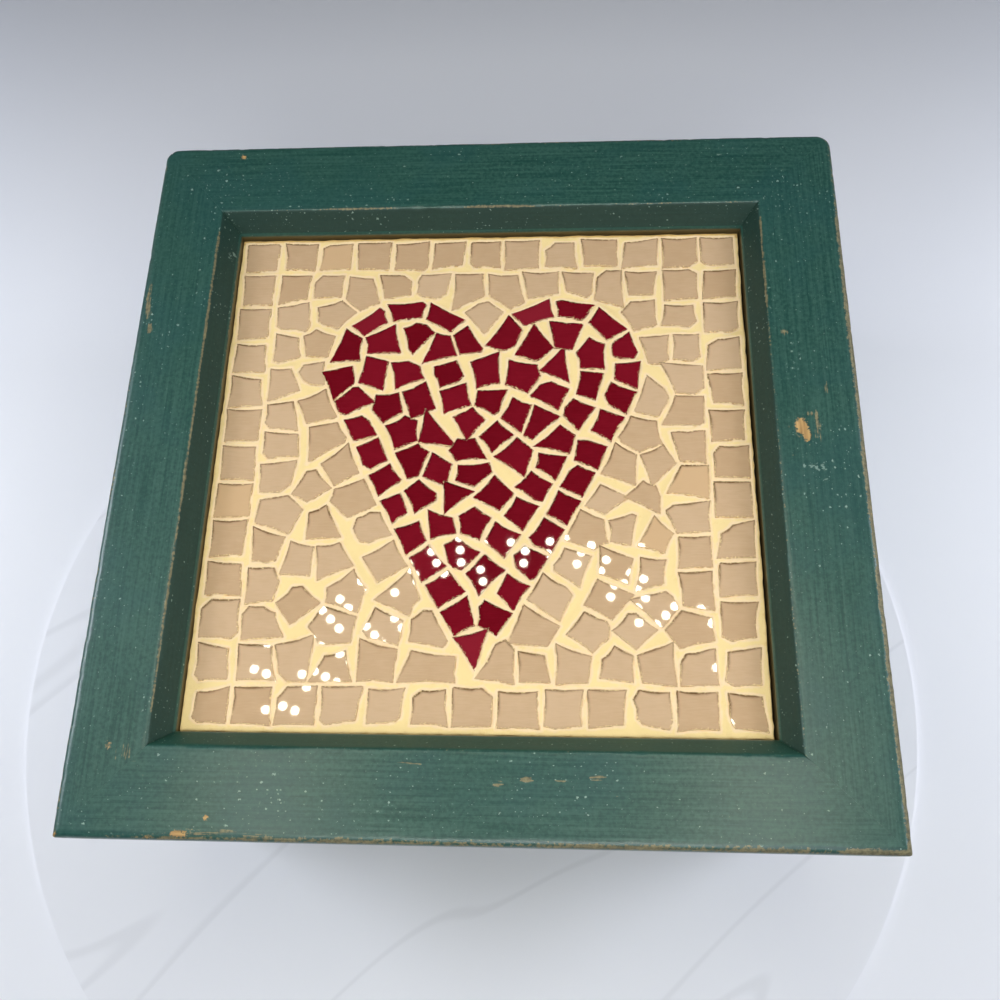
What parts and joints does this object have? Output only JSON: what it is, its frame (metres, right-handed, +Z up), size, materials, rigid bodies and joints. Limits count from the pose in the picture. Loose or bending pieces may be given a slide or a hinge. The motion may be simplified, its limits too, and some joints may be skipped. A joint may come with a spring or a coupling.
{
  "type": "wooden mosaic box",
  "caption": "Square wooden keepsake box with a lift-off lid: a wide mitred frame round a sunk glass mosaic of a heart.",
  "frame": {"origin": "centre of the underside, on the surface that the box stands on", "axes": "+Z up, +X to the right and -Y towards the front, as seen by someone who reads the heart upright"},
  "size_m": [0.178, 0.178, 0.0803],
  "materials": {
    "green_paint": "satin dark green paint on wood, brushed, worn through at the edges",
    "bare_wood": "bare light wood",
    "red_glass": "glossy clear glass over deep red",
    "beige_glass": "glossy clear glass over beige",
    "grout": "matt cream sanded grout"
  },
  "bodies": {
    "root": {"bottom_board": "green_paint", "front_board": "green_paint", "back_board": "green_paint", "left_board": "green_paint", "right_board": "green_paint", "lid_rail_front": "green_paint", "lid_rail_back": "green_paint", "lid_rail_left": "green_paint", "lid_rail_right": "green_paint", "mosaic_panel": "bare_wood", "heart_tiles": "red_glass", "field_tiles": "beige_glass", "grout": "grout"}
  },
  "joints": []
}
